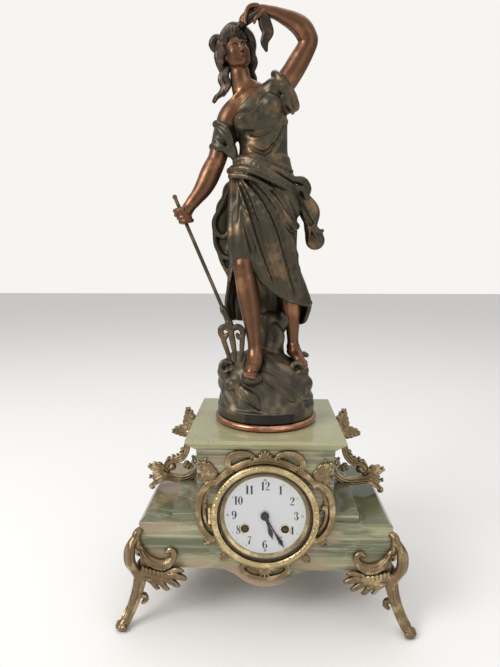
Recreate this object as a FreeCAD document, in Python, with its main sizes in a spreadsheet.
import FreeCAD, Part
import Sketcher
import math, os, re
from FreeCAD import Vector, Placement, Rotation

# Figural mantel clock: a green onyx case on four gilt feet with two side handles, a round
# striking movement behind an enamel dial, and a draped bronze woman with a trident on top.
# The case centre is x = y = 0, the front faces -y and the table is z = 0.

doc = FreeCAD.newDocument("figural_clock")

# Driving dimensions in millimetres, by the piece that they belong to.
SIZES = {
    # onyx case
    "block_width": 284, "block_depth": 160, "block_height": 58.5, "block_lift": 64.5,
    "block_wall": 24, "block_panel": 24, "block_roof": 19, "block_chamfer": 4.5,
    "apron_drop": 21.8, "apron_width": 114,
    "step_width": 208, "step_depth": 158, "step_height": 11.5, "step_chamfer": 1,
    "neck_width": 151, "neck_height": 71.5, "neck_chamfer": 1,
    "top_width": 175, "top_depth": 172, "top_edge": 4, "top_bevel": 7.5, "top_foot_rim": 1.5,
    # movement bore and dial
    "dial_height": 132, "bore_radius": 48.5, "bore_gap": 0.2,
    "dial_radius": 50, "dial_thick": 1.6, "dial_centre_hole": 4.2,
    "winding_across": 44.4, "winding_below": 15.8, "winding_hole": 6,
    "eyelet_wall": 1.4, "eyelet_proud": 0.4,
    # front bezel
    "flange_radius": 57.5, "flange_thick": 3.7, "sleeve_depth": 3, "sleeve_inner": 43,
    "frame_radius": 58.5, "frame_sight": 45.2, "frame_proud": 7.9, "frame_lip": 53.4,
    "glass_radius": 53, "glass_thick": 1.4, "glass_seat": 5.3, "glass_bearing": 2,
    "running_gap": 0.05, "face_gap": 0.3,
    "knuckle_radius": 2.2, "knuckle_length": 6, "hinge_pin_radius": 0.8, "knuckle_offset": 2.5,
    # rear ring and door
    "rear_flange_radius": 54, "rear_flange_thick": 2, "rear_opening": 40,
    "rear_sleeve": 6, "rear_door_radius": 52, "rear_door_thick": 2,
    "sound_hole_radius": 3, "sound_hole_circle": 30, "rear_catch_radius": 3, "rear_catch_height": 4,
    # movement frame
    "plate_radius": 44, "plate_thick": 3, "plate_space": 38, "pillar_radius": 2.6,
    "pillar_circle": 39, "pivot_radius": 0.6, "strap_thick": 1.6, "strap_width": 8,
    "strap_end_thick": 2.6, "strap_end_length": 10, "strap_screw_radius": 0.8,
    "strap_screw_head": 1.3, "strap_screw_head_height": 1,
    # barrels and winding arbors
    "barrel_module": 0.4, "barrel_wheel_thick": 2.5, "barrel_wheel_gap": 2, "drum_radius": 15,
    "drum_height": 19.5, "drum_wall": 1, "winding_arbor_radius": 3, "winding_square": 4.4,
    "winding_square_proud": 0.6, "ratchet_radius": 8, "ratchet_thick": 1.5,
    # train
    "train_module": 0.36, "centre_module": 0.34, "fly_module": 0.29, "wheel_thick": 1.5,
    "pinion_length": 4, "arbor_radius": 0.8, "hub_radius": 2.6, "centre_arbor_radius": 1.5,
    "second_wheel_level": 28, "centre_wheel_level": 33, "third_wheel_level": 7,
    "escape_wheel_level": 29, "pin_wheel_level": 14, "escape_radius": 8.6,
    "escape_tooth": 1.6, "fly_radius": 5, "fly_length": 12,
    # anchor, crutch and pendulum
    "anchor_rise": 12, "anchor_arm": 7.2, "anchor_drop": 4.4, "anchor_thick": 1.5,
    "pallet_width": 0.6, "pallet_clear": 0.1,
    "anchor_bar": 2.2, "crutch_length": 28, "crutch_width": 3, "crutch_thick": 1.5,
    "crutch_tine": 1.2, "crutch_reach": 5.5, "pendulum_behind": 8, "rod_radius": 1.1,
    "pendulum_length": 83.8, "bob_radius": 16, "bob_thick": 8, "bob_rim": 1.6,
    "spring_thick": 0.3, "spring_width": 4.4, "spring_above": 6.2, "spring_below": 10,
    "spring_slot": 1.6, "cock_width": 10, "cock_height": 6, "cock_above": 4.2,
    # motion work and hands
    "motion_module": 0.4, "hour_module": 0.384, "motion_thick": 1, "cannon_radius": 2,
    "cannon_pinion_length": 1.6, "hour_pipe_radius": 3, "minute_stud_radius": 1,
    "hand_thick": 0.5, "hand_spacing": 0.9, "minute_hand_length": 43, "hour_hand_length": 29,
    "minute_hand_width": 3.6, "hour_hand_width": 5, "hand_boss_radius": 4.75,
    "hour_boss_radius": 4.4,
    # bell and hammer
    "bell_radius": 29, "bell_depth": 20, "bell_wall": 1.2, "bell_behind": 17,
    "bell_stud_radius": 2, "bell_stand_radius": 1.8, "bell_stand_across": 14,
    "bell_stand_below": 10, "bell_nut_radius": 4, "bell_nut_height": 3,
    "bell_nut_seat": 0.3,
    "hammer_arbor_radius": 1.2, "hammer_across": 37, "hammer_below": 10, "hammer_rise": 18,
    "hammer_head_radius": 3, "hammer_head_length": 7, "hammer_arm": 2, "hammer_gap": 0.8,
    # cast mounts
    "handle_height": 103, "handle_depth": 9, "handle_screw_radius": 1.5,
    "screw_head_radius": 3, "screw_head_height": 1.8, "handle_screw_length": 14,
    "foot_height": 111, "foot_plate_radius": 13, "foot_plate_thick": 4,
    "foot_screw_radius": 2, "foot_screw_length": 16, "foot_screw_inset": 14,
    "surround_width": 152, "surround_depth": 7, "surround_back": 1,
    # figure
    "figure_height": 480, "plinth_radius": 63, "plinth_height": 8.5, "drum_base_radius": 59,
    "drum_base_height": 13, "nameplate_height": 9, "nameplate_thick": 1.2, "nameplate_arc": 56,
    "nameplate_turn": 5, "plate_pin_radius": 1.3, "plate_pin_height": 1,
    "shaft_radius": 2.2, "socket_radius": 4, "bolt_radius": 3, "bolt_head_radius": 7,
    "bolt_head_height": 5, "bolt_into_figure": 26,
}

# Numbers of teeth and copies.
BARREL_TEETH = 80
SECOND_PINION = 12
SECOND_TEETH = 60
CENTRE_PINION = 10
CENTRE_TEETH = 64
THIRD_PINION = 8
THIRD_TEETH = 60
ESCAPE_PINION = 8
ESCAPE_TEETH = 24
PIN_PINION = 10
PIN_WHEEL_TEETH = 60
FLY_PINION = 8
CANNON_TEETH = 12
MINUTE_WHEEL_TEETH = 36
MINUTE_PINION = 10
HOUR_TEETH = 40
RATCHET_TEETH = 24
SOUND_HOLES = 10
CROSSINGS = 5
OVAL_PLACES = 8

# Shares of a width or a depth
BOB_BULGE_SHARE = 0.44
DEPTH_LIMIT_SHARE = 1.1
MINUTE_PINION_LENGTH_SHARE = 3
HOUR_HAND_SHARES = ((0.0, 0.32), (0.3, 0.22), (0.5, 0.26), (0.72, 0.5), (0.88, 0.22), (1.0, 0.03))
MINUTE_HAND_SHARES = ((0.0, 0.4), (0.25, 0.24), (0.6, 0.3), (0.8, 0.5), (0.92, 0.2), (1.0, 0.03))

# Castings as rows of (x, z, half width), in shares of the handle's height, outwards from the
# neck and upwards from the block.
HANDLE_SHARES = (
    ((0.049, 0.699, 0.043), (0.053, 0.563, 0.049), (0.055, 0.427, 0.052), (0.078, 0.316, 0.052),
        (0.136, 0.228, 0.049), (0.214, 0.167, 0.045), (0.311, 0.134, 0.041), (0.408, 0.085, 0.045),
        (0.515, 0.058, 0.043), (0.612, 0.041, 0.035), (0.68, 0.031, 0.025)),
    ((0.485, 0.117, 0.039), (0.544, 0.194, 0.035), (0.563, 0.272, 0.033), (0.539, 0.34, 0.031),
        (0.476, 0.374, 0.029), (0.427, 0.345, 0.027), (0.422, 0.301, 0.025), (0.451, 0.277, 0.023)),
    ((0.204, 0.699, 0.031), (0.228, 0.592, 0.035), (0.233, 0.505, 0.035), (0.262, 0.427, 0.035),
        (0.32, 0.367, 0.034), (0.388, 0.348, 0.031), (0.456, 0.369, 0.027)),
    ((0.045, 0.66, 0.037), (0.117, 0.714, 0.035), (0.214, 0.714, 0.035)),
    ((0.214, 0.699, 0.034), (0.199, 0.796, 0.054), (0.209, 0.874, 0.045), (0.199, 0.942, 0.039),
        (0.209, 1.01, 0.01)),
    ((0.194, 0.709, 0.034), (0.291, 0.728, 0.043), (0.359, 0.718, 0.025), (0.393, 0.714, 0.008)),
    ((0.534, 0.117, 0.039), (0.612, 0.194, 0.039), (0.66, 0.233, 0.027), (0.704, 0.267, 0.01)),
)
NAMEPLATE_PIN_SHARES = (0.06, 0.94)
HANDLE_SCREW_SHARES = ((0.092, 0.602), (0.121, 0.35))

# Foot castings as rows of (outwards, up, half width) in the corner's diagonal plane, and as
# rows of (along x, along y, up, half width), in shares of the foot's height from the corner.
FOOT_DIAGONAL_SHARES = (
    ((0.297, 0.063, 0.05), (0.243, 0.068, 0.063), (0.162, 0.086, 0.059), (0.072, 0.126, 0.056),
        (-0.027, 0.203, 0.056), (-0.095, 0.297, 0.056), (-0.117, 0.396, 0.058),
        (-0.108, 0.486, 0.063), (-0.099, 0.559, 0.063)),
    ((-0.063, 0.514, 0.045), (0.027, 0.532, 0.047), (0.099, 0.581, 0.045), (0.158, 0.658, 0.041),
        (0.176, 0.757, 0.04), (0.153, 0.847, 0.038), (0.104, 0.91, 0.036), (0.068, 0.964, 0.027),
        (0.059, 1, 0.009)),
    ((0.05, 0.703, 0.02), (0.038, 0.784, 0.022), (0.05, 0.869, 0.036), (0.108, 0.91, 0.018)),
)
FOOT_SIDE_SHARES = (
    ((0.009, 0.032, 0.757, 0.023), (-0.027, 0.032, 0.658, 0.028), (-0.09, 0.032, 0.595, 0.029),
        (-0.171, 0.032, 0.572, 0.029), (-0.252, 0.032, 0.59, 0.028), (-0.311, 0.032, 0.644, 0.027),
        (-0.329, 0.032, 0.712, 0.02)),
    ((0.036, 0.018, 0.527, 0.045), (-0.072, 0.009, 0.527, 0.045), (-0.162, 0, 0.523, 0.045),
        (-0.252, -0.009, 0.518, 0.045), (-0.324, -0.018, 0.514, 0.036)),
    ((-0.18, 0, 0.486, 0.036), (-0.297, 0.009, 0.468, 0.045), (-0.396, 0.009, 0.45, 0.04),
        (-0.45, 0, 0.414, 0.013)),
    ((-0.108, 0, 0.486, 0.036), (-0.198, 0.018, 0.423, 0.041), (-0.279, 0.027, 0.36, 0.013)),
)
SOLE_SHARES = ((0.248, 0.059, 0.027),)[0]

# Dial surround as rows of (x, z, half width) in shares of its half width, round the dial's
# centre: bands that cross the middle, of which half is given, shells on the middle line, and
# branches that are repeated on the other side.
SURROUND_BAND_SHARES = (
    ((-0.737, 0.454, 0.042), (-0.592, 0.612, 0.047), (-0.408, 0.75, 0.051),
        (-0.211, 0.832, 0.053), (0, 0.855, 0.053)),
    ((-0.757, -0.303, 0.026), (-0.658, -0.487, 0.034), (-0.513, -0.645, 0.034),
        (-0.316, -0.763, 0.034), (0, -0.829, 0.034)),
    ((-0.316, -0.75, 0.034), (-0.329, -0.868, 0.039), (-0.224, -0.961, 0.039), (0, -0.987, 0.039)),
)
SURROUND_SHELL_SHARES = (
    ((0, 0.816, 0.079), (0, 0.895, 0.066), (0, 0.961, 0.016)),
    ((0, -0.803, 0.053), (0, -0.934, 0.066), (0, -1.039, 0.016)),
)
SURROUND_BRANCH_SHARES = (
    ((-0.474, 0.658, 0.039), (-0.533, 0.763, 0.042), (-0.5, 0.868, 0.042), (-0.368, 0.921, 0.042),
        (-0.237, 0.914, 0.039), (-0.171, 0.855, 0.034)),
    ((-0.697, 0.5, 0.053), (-0.789, 0.605, 0.072), (-0.868, 0.697, 0.059), (-0.947, 0.789, 0.018)),
    ((-0.724, 0.5, 0.039), (-0.868, 0.408, 0.045), (-0.954, 0.25, 0.039), (-0.974, 0.053, 0.037),
        (-0.947, -0.132, 0.037), (-0.868, -0.276, 0.039), (-0.763, -0.368, 0.039)),
)

# Figure: horizontal ovals (x, y, up, half width, half depth) and limbs (x, y, up, half width)
# in shares of the figure's height, from the middle of its foot ring.
BODY_SHARES = ((0.008, 0.017, 0.269, 0.084, 0.042), (0.006, 0.013, 0.32, 0.097, 0.057),
    (-0.002, 0.004, 0.383, 0.086, 0.063), (-0.004, 0.002, 0.452, 0.09, 0.065),
    (-0.004, 0, 0.519, 0.084, 0.063), (-0.011, 0, 0.583, 0.081, 0.061),
    (-0.015, 0, 0.625, 0.08, 0.059), (-0.008, 0, 0.658, 0.06, 0.044),
    (-0.009, 0, 0.683, 0.06, 0.043), (-0.019, -0.002, 0.736, 0.069, 0.046),
    (-0.027, 0, 0.772, 0.069, 0.04), (-0.034, 0, 0.799, 0.065, 0.032),
    (-0.046, 0, 0.82, 0.032, 0.022), (-0.057, -0.004, 0.837, 0.019, 0.019))
SHAWL_SHARES = (
    ((-0.093, -0.008, 0.631, 0.015), (-0.059, -0.05, 0.631, 0.017),
        (-0.013, -0.065, 0.616, 0.018), (0.034, -0.057, 0.593, 0.018), (0.072, -0.021, 0.572, 0.019),
        (0.097, 0.004, 0.551, 0.017), (0.114, 0.008, 0.515, 0.017), (0.122, 0.011, 0.479, 0.017),
        (0.12, 0.011, 0.45, 0.017), (0.126, 0.011, 0.431, 0.017)),
    ((-0.08, 0.021, 0.599, 0.013), (-0.105, 0.025, 0.559, 0.019), (-0.116, 0.025, 0.511, 0.023),
        (-0.111, 0.025, 0.458, 0.023), (-0.097, 0.021, 0.41, 0.017)),
)
HEAD_SHARES = (
    ((-0.055, -0.006, 0.82, 0.018), (-0.059, -0.008, 0.845, 0.019),
        (-0.065, -0.011, 0.866, 0.025), (-0.074, -0.013, 0.892, 0.038),
        (-0.08, -0.008, 0.913, 0.042), (-0.086, -0.004, 0.936, 0.027),
        (-0.088, -0.002, 0.944, 0.011)),
    ((-0.109, 0.008, 0.921, 0.019), (-0.124, 0.011, 0.913, 0.019), (-0.135, 0.013, 0.9, 0.013)),
    ((-0.097, 0.013, 0.883, 0.017), (-0.105, 0.017, 0.841, 0.015), (-0.118, 0.013, 0.808, 0.011),
        (-0.124, 0.008, 0.787, 0.004)),
    ((-0.046, 0.017, 0.904, 0.017), (-0.032, 0.021, 0.871, 0.015), (-0.025, 0.019, 0.831, 0.011),
        (-0.025, 0.017, 0.808, 0.004)),
)
RAISED_ARM_SHARES = (
    ((0.004, 0, 0.782, 0.027), (0.025, 0, 0.808, 0.029), (0.042, 0, 0.829, 0.03),
        (0.057, -0.002, 0.848, 0.027), (0.072, -0.002, 0.873, 0.023), (0.09, -0.006, 0.902, 0.022),
        (0.099, -0.008, 0.921, 0.021), (0.093, -0.013, 0.94, 0.021), (0.074, -0.015, 0.953, 0.019),
        (0.042, -0.019, 0.965, 0.016), (0.008, -0.023, 0.974, 0.013), (-0.011, -0.025, 0.977, 0.012),
        (-0.029, -0.025, 0.976, 0.014), (-0.046, -0.025, 0.965, 0.013),
        (-0.059, -0.025, 0.951, 0.005)),
    ((-0.013, -0.025, 0.97, 0.006), (-0.006, -0.025, 0.942, 0.011),
        (-0.002, -0.025, 0.913, 0.009), (-0.006, -0.025, 0.877, 0.003)),
)
LOWERED_ARM_SHARES = ((-0.08, 0, 0.77, 0.025), (-0.101, 0, 0.749, 0.032), (-0.116, 0, 0.715, 0.03),
    (-0.124, 0, 0.683, 0.026), (-0.13, -0.002, 0.656, 0.022), (-0.141, -0.006, 0.631, 0.021),
    (-0.164, -0.013, 0.591, 0.018), (-0.185, -0.017, 0.559, 0.013),
    (-0.196, -0.019, 0.543, 0.012), (-0.208, -0.021, 0.526, 0.018),
    (-0.215, -0.021, 0.509, 0.017), (-0.21, -0.021, 0.492, 0.008))
FRONT_LEG_SHARES = ((-0.034, -0.034, 0.488, 0.029), (-0.048, -0.048, 0.446, 0.026),
    (-0.057, -0.059, 0.404, 0.022), (-0.05, -0.057, 0.366, 0.022), (-0.04, -0.048, 0.32, 0.024),
    (-0.034, -0.048, 0.269, 0.02), (-0.027, -0.053, 0.21, 0.013), (-0.025, -0.055, 0.177, 0.012),
    (-0.025, -0.061, 0.156, 0.014), (-0.029, -0.076, 0.139, 0.013),
    (-0.034, -0.093, 0.126, 0.008))
REAR_LEG_SHARES = ((0.055, 0.017, 0.362, 0.025), (0.061, 0.017, 0.32, 0.024), (0.065, 0.017, 0.286, 0.022),
    (0.067, 0.017, 0.236, 0.015), (0.067, 0.017, 0.198, 0.011), (0.069, 0.015, 0.177, 0.013),
    (0.078, 0.002, 0.16, 0.012), (0.086, -0.017, 0.145, 0.008))
ROCK_SHARES = ((0, 0, 0.04, 0.116, 0.111), (0, 0, 0.05, 0.119, 0.115), (0, 0, 0.065, 0.119, 0.114),
    (-0.002, 0, 0.084, 0.109, 0.105), (-0.006, 0, 0.114, 0.105, 0.097),
    (-0.011, 0, 0.139, 0.101, 0.084), (-0.015, 0, 0.16, 0.08, 0.065),
    (-0.017, 0, 0.177, 0.042, 0.036))
STUMP_SHARES = ((0.013, 0.017, 0.147, 0.036), (0.013, 0.019, 0.2, 0.029), (0.015, 0.021, 0.252, 0.021),
    (0.021, 0.023, 0.294, 0.015))
TRIDENT_SHARES = ((-0.227, -0.019, 0.555), (-0.094, -0.057, 0.251), (-0.082, -0.061, 0.21))
FORK_SHARES = (
    ((-0.094, -0.057, 0.254, 0.006), (-0.088, -0.058, 0.231, 0.007), (-0.084, -0.06, 0.21, 0.006),
        (-0.08, -0.062, 0.185, 0.005), (-0.078, -0.063, 0.16, 0.002)),
    ((-0.088, -0.059, 0.227, 0.005), (-0.105, -0.059, 0.227, 0.006),
        (-0.109, -0.06, 0.206, 0.005), (-0.101, -0.061, 0.185, 0.005),
        (-0.096, -0.062, 0.162, 0.002)),
    ((-0.088, -0.059, 0.227, 0.005), (-0.072, -0.059, 0.236, 0.006),
        (-0.061, -0.06, 0.217, 0.005), (-0.061, -0.061, 0.189, 0.005), (-0.059, -0.062, 0.16, 0.002)),
)

# Tooth form as shares of the module and of the pitch.
ADDENDUM_SHARE = 0.5
DEDENDUM_SHARE = 0.8
TOOTH_TIP_SHARE = 0.24
TOOTH_ROOT_SHARE = 0.52
CROSSING_SHARES = (0.34, 0.8)
CROSSING_ARC_SHARE = 0.72

# The time that the hands show, and where things stand round the movement, in degrees.
MINUTE_ANGLE = 150
HOUR_ANGLE = 162.5
BELL_ARC_SHARE = 0.83
RING_BULGE_SHARE = 1.02
HINGE_HALF_SHARE = 1.5
ESCAPE_TOOTH_SHARES = ((0, 0), (0.12, 0), (0.3, 1), (0.95, 1))
ESCAPE_TURN_SHARE = 0.375
MINUTE_WHEEL_ANGLE = -100
PILLAR_ANGLES = (8, 52, 148, 270)
PIN_WHEEL_ANGLE = 68
FLY_ANGLE = 100
STRIKE_SECOND_ANGLE = 95

sheet = doc.addObject("Spreadsheet::Sheet", "Sizes")
for row, (alias, value) in enumerate(SIZES.items(), start=1):
    sheet.set(f"A{row}", alias)
    sheet.set(f"B{row}", str(value))
    sheet.setAlias(f"B{row}", alias)
doc.recompute()

NODES = []


def formula(text):
    """An expression in the names of the sheet's sizes."""
    return re.sub(r"\b([a-z]\w*)\b(?!\()", r"Sizes.\1", text)


def value(text):
    """The number that a formula gives now."""
    return float(sheet.evalExpression(formula(text)))


def bind(thing, **properties):
    for name, text in properties.items():
        thing.setExpression(name, formula(text))
    return thing


def move(thing, x="0", y="0", z="0", turn=None):
    """Place a thing by formulas, turned first by turn = (axis, degrees)."""
    if turn:
        thing.Placement = Placement(Vector(), Rotation(*turn))
    for axis, text in zip("xyz", (x, y, z)):
        thing.setExpression("Placement.Base." + axis, formula(text))
    return thing


def name_node(thing, label):
    thing.Label = label
    NODES.append(thing)
    return thing


def box(length, width, height, x="0", y="0", z="0"):
    thing = doc.addObject("Part::Box", "Box")
    bind(thing, Length=length, Width=width, Height=height)
    return move(thing, x, y, z)


TO_BACK = (Vector(1, 0, 0), -90)


def rod(radius, length, x="0", y="0", z="0", turn=None):
    thing = doc.addObject("Part::Cylinder", "Rod")
    bind(thing, Radius=radius, Height=length)
    return move(thing, x, y, z, turn)


def cut(base, *tools):
    for tool in tools:
        thing = doc.addObject("Part::Cut", "Cut")
        thing.Base = base
        thing.Tool = tool
        base = thing
    return base


def fuse(*shapes):
    thing = doc.addObject("Part::MultiFuse", "Fuse")
    thing.Shapes = list(shapes)
    thing.Refine = True
    return thing


def group(*shapes):
    """Separate solids in one node."""
    thing = doc.addObject("Part::Compound", "Group")
    thing.Links = list(shapes)
    return thing


def origin_plane(body, role):
    return next(f for f in body.Origin.OriginFeatures if f.Role == role)


def draw(body, role, points, arcs=None):
    """A closed sketch through (x, y) formulas; arcs gives a radius to the side after a point."""
    arcs = arcs or {}
    sketch = body.newObject("Sketcher::SketchObject", "Outline")
    sketch.AttachmentSupport = (origin_plane(body, role), [""])
    sketch.MapMode = "FlatFace"
    places = [Vector(value(x), value(y), 0) for x, y in points]
    count = len(places)
    starts = [1] * count
    for i, here in enumerate(places):
        there = places[(i + 1) % count]
        if i in arcs:
            radius, side = arcs[i]
            chord = there - here
            reach = math.sqrt(value(radius) ** 2 - chord.Length ** 2 / 4)
            centre = (here + there) / 2 + Vector(-chord.y, chord.x, 0).normalize() * side * reach
            ends = (here, there) if side > 0 else (there, here)
            angles = [math.atan2(p.y - centre.y, p.x - centre.x) for p in ends]
            circle = Part.Circle(centre, Vector(0, 0, 1), value(radius))
            sketch.addGeometry(Part.ArcOfCircle(circle, *angles), False)
            starts[i] = 1 if side > 0 else 2
        else:
            sketch.addGeometry(Part.LineSegment(here, there), False)
    for i, (x, y) in enumerate(points):
        last = (i - 1) % count
        sketch.addConstraint(Sketcher.Constraint("Coincident", last, 3 - starts[last], i, starts[i]))
        across = sketch.addConstraint(
            Sketcher.Constraint("DistanceX", -1, 1, i, starts[i], places[i].x))
        sketch.setExpression(f"Constraints[{across}]", formula(x))
        along = sketch.addConstraint(
            Sketcher.Constraint("DistanceY", -1, 1, i, starts[i], places[i].y))
        sketch.setExpression(f"Constraints[{along}]", formula(y))
    for i, (radius, side) in arcs.items():
        bow = sketch.addConstraint(Sketcher.Constraint("Radius", i, value(radius)))
        sketch.setExpression(f"Constraints[{bow}]", formula(radius))
    return sketch


def draw_circles(body, role, circles):
    """A sketch of circles, each (x, y, radius) in formulas."""
    sketch = body.newObject("Sketcher::SketchObject", "Circles")
    sketch.AttachmentSupport = (origin_plane(body, role), [""])
    sketch.MapMode = "FlatFace"
    for i, (x, y, radius) in enumerate(circles):
        place = Vector(value(x), value(y), 0)
        sketch.addGeometry(Part.Circle(place, Vector(0, 0, 1), value(radius)), False)
        for kind, text, number in (("DistanceX", x, place.x), ("DistanceY", y, place.y)):
            given = sketch.addConstraint(Sketcher.Constraint(kind, -1, 1, i, 3, number))
            sketch.setExpression(f"Constraints[{given}]", formula(text))
        given = sketch.addConstraint(Sketcher.Constraint("Radius", i, value(radius)))
        sketch.setExpression(f"Constraints[{given}]", formula(radius))
    return sketch


def new_body(label, x="0", y="0", z="0"):
    body = doc.addObject("PartDesign::Body", "Body")
    name_node(body, label)
    return move(body, x, y, z)


def pad(body, sketch, length, both=False):
    feature = body.newObject("PartDesign::Pad", "Pad")
    feature.Profile = sketch
    bind(feature, Length=length)
    feature.Midplane = both
    return feature


def turned(body, points, role="XY_Plane", arcs=None):
    """A lathe-turned form: (radius, height) points round the plane's upright axis."""
    sketch = draw(body, role, points, arcs)
    feature = body.newObject("PartDesign::Revolution", "Turning")
    feature.Profile = sketch
    feature.ReferenceAxis = (sketch, ["V_Axis"])
    feature.Angle = 360
    return feature


def formed(label, shape, placement=None):
    """A node whose shape is worked out in code."""
    thing = doc.addObject("Part::Feature", "Form")
    thing.Shape = shape
    if placement:
        thing.Placement = placement
    return name_node(thing, label)


def plain(shape):
    """A helper shape worked out in code, for use in a boolean."""
    thing = doc.addObject("Part::Feature", "Form")
    thing.Shape = shape
    return thing


# Onyx case

block = new_body("onyx_block")
outline = draw(block, "XZ_Plane", [
    ("-block_width / 2", "block_lift"), ("-apron_width / 2", "block_lift"),
    ("-apron_width / 4", "block_lift - apron_drop / 2"), ("0", "block_lift - apron_drop"),
    ("apron_width / 4", "block_lift - apron_drop / 2"), ("apron_width / 2", "block_lift"),
    ("block_width / 2", "block_lift"),
    ("block_width / 2", "block_lift + block_height - block_chamfer"),
    ("block_width / 2 - block_chamfer", "block_lift + block_height"),
    ("block_chamfer - block_width / 2", "block_lift + block_height"),
    ("-block_width / 2", "block_lift + block_height - block_chamfer"),
], arcs={i: ("(apron_width ^ 2 / 16 + apron_drop ^ 2 / 4) / apron_drop", side)
         for i, side in ((1, -1), (2, 1), (3, 1), (4, -1))})
pad(block, outline, "block_depth", both=True)
hollow = draw(block, "XZ_Plane", [
    ("block_wall - block_width / 2", "block_lift - apron_drop"),
    ("block_width / 2 - block_wall", "block_lift - apron_drop"),
    ("block_width / 2 - block_wall", "block_lift + block_height - block_roof"),
    ("block_wall - block_width / 2", "block_lift + block_height - block_roof")])
cavity = block.newObject("PartDesign::Pocket", "Cavity")
cavity.Profile = hollow
cavity.Midplane = True
bind(cavity, Length="block_depth - 2 * block_panel")
screw_circles = draw_circles(block, "XY_Plane", [
    (f"{x} * (block_width / 2 - foot_screw_inset)", f"{y} * (block_depth / 2 - foot_screw_inset)",
     "foot_screw_radius + running_gap") for x in (1, -1) for y in (1, -1)])
screw_ways = block.newObject("PartDesign::Pocket", "ScrewWays")
screw_ways.Profile = screw_circles
screw_ways.Reversed = True
bind(screw_ways, Length="block_lift + foot_screw_length")
bore = draw_circles(block, "XZ_Plane", [("0", "dial_height", "bore_radius")])
movement_bore = block.newObject("PartDesign::Pocket", "MovementBore")
movement_bore.Profile = bore
movement_bore.Midplane = True
bind(movement_bore, Length="2 * block_depth")


def slab(width, depth, foot, height, chamfer):
    """A rectangular slab with chamfered top edges, cut through by the movement bore."""
    body = doc.addObject("PartDesign::Body", "Body")
    half = f"({width}) / 2"
    side = draw(body, "XZ_Plane", [
        (f"-{half}", foot), (half, foot), (half, f"{foot} + {height} - {chamfer}"),
        (f"{half} - {chamfer}", f"{foot} + {height}"),
        (f"{chamfer} - {half}", f"{foot} + {height}"),
        (f"-{half}", f"{foot} + {height} - {chamfer}")])
    pad(body, side, depth, both=True)
    hole = draw_circles(body, "XZ_Plane", [("0", "dial_height", "bore_radius")])
    pocket = body.newObject("PartDesign::Pocket", "MovementBore")
    pocket.Profile = hole
    pocket.Midplane = True
    bind(pocket, Length=f"2 * ({depth})")
    return body


name_node(slab("step_width", "step_depth", "block_lift + block_height",
               "step_height", "step_chamfer"), "onyx_step_slab")
neck = slab("neck_width", "block_depth", "block_lift + block_height + step_height",
            "neck_height", "neck_chamfer")
NECK_TOP = "block_lift + block_height + step_height + neck_height"
CASE_TOP = NECK_TOP + " + top_bevel + top_edge"
bolt_circle = draw_circles(neck, "XY_Plane", [("0", "0", "bolt_radius + running_gap")])
bolt_way = neck.newObject("PartDesign::Pocket", "BoltWay")
bolt_way.Profile = bolt_circle
bolt_way.Reversed = True
bind(bolt_way, Length="2 * (" + NECK_TOP + ")")
TO_SIDE = (Vector(0, 1, 0), 90)
name_node(cut(neck, *[
    rod("handle_screw_radius + running_gap", "2 * handle_screw_length",
        x=f"{side} * neck_width / 2 - handle_screw_length",
        z=f"block_lift + block_height + {share} * handle_height", turn=TO_SIDE)
    for side in (1, -1) for _, share in HANDLE_SCREW_SHARES]), "onyx_neck")

# The top slab: a square edge over a bevel that runs in under it to the neck.
top_edge = box("top_width", "top_depth", "top_edge", "-top_width / 2", "-top_depth / 2",
               NECK_TOP + " + top_bevel")


def rectangle(width, depth, height):
    half_x, half_y = width / 2, depth / 2
    corners = [Vector(x, y, height) for x, y in ((-half_x, -half_y), (half_x, -half_y),
                                                 (half_x, half_y), (-half_x, half_y))]
    return Part.makePolygon(corners + corners[:1])


rim = 2 * value("top_foot_rim")
top_bevel = plain(Part.makeLoft([
    rectangle(value("neck_width") + rim, value("block_depth") + rim, value(NECK_TOP)),
    rectangle(value("top_width"), value("top_depth"), value(NECK_TOP + " + top_bevel"))], True, True))
top_slab = cut(fuse(top_edge, top_bevel),
               rod("bolt_radius + running_gap", "2 * (top_edge + top_bevel)", z=NECK_TOP
                   + " - (top_edge + top_bevel) / 2"))
name_node(top_slab, "onyx_top_slab")

# Front bezel: the fixed ring, the hinged frame, its glass, the dial and the eyelets.
# y runs backwards from the front of the stone, and all of them turn about the dial's axis.
FRONT = "-block_depth / 2"
DIAL_BACK = FRONT + " - flange_thick"
DIAL_FACE = DIAL_BACK + " - dial_thick"
FRAME_BACK = DIAL_FACE + " - face_gap"
FRAME_FRONT = DIAL_BACK + " - frame_proud"
GLASS_BACK = DIAL_BACK + " - glass_seat"
HINGE_X = "-frame_radius - knuckle_offset"
HINGE_Y = FRAME_BACK + " - knuckle_radius / 2"
KNUCKLE_SHARES = (0.55, -1.55)


def knuckle(x, y, z, length):
    """A drilled hinge barrel standing on z."""
    return cut(rod("knuckle_radius", length, x, y, z),
               rod("hinge_pin_radius + running_gap", f"3 * ({length})", x, y,
                   f"{z} - ({length})"))


ring = doc.addObject("PartDesign::Body", "Body")
move(ring, z="dial_height")
turned(ring, [
    ("sleeve_inner", FRONT + " + sleeve_depth"),
    ("bore_radius - bore_gap", FRONT + " + sleeve_depth"),
    ("bore_radius - bore_gap", FRONT), ("flange_radius", FRONT), ("flange_radius", DIAL_BACK),
    ("sleeve_inner", DIAL_BACK)])
MIDDLE = "dial_height - knuckle_length / 2"
fixed_knuckles = [
    knuckle(HINGE_X, HINGE_Y, f"dial_height + knuckle_length * {share}", "knuckle_length")
    for share in KNUCKLE_SHARES]
ears = [
    cut(box("knuckle_radius + knuckle_offset - 2 * face_gap", f"({FRONT}) - ({HINGE_Y})",
            "knuckle_length", HINGE_X + " - knuckle_radius", HINGE_Y,
            f"dial_height + knuckle_length * {share}"),
        rod("hinge_pin_radius + running_gap", "3 * knuckle_length", HINGE_X, HINGE_Y,
            f"dial_height + knuckle_length * ({share} - 1)"))
    for share in KNUCKLE_SHARES]
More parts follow.
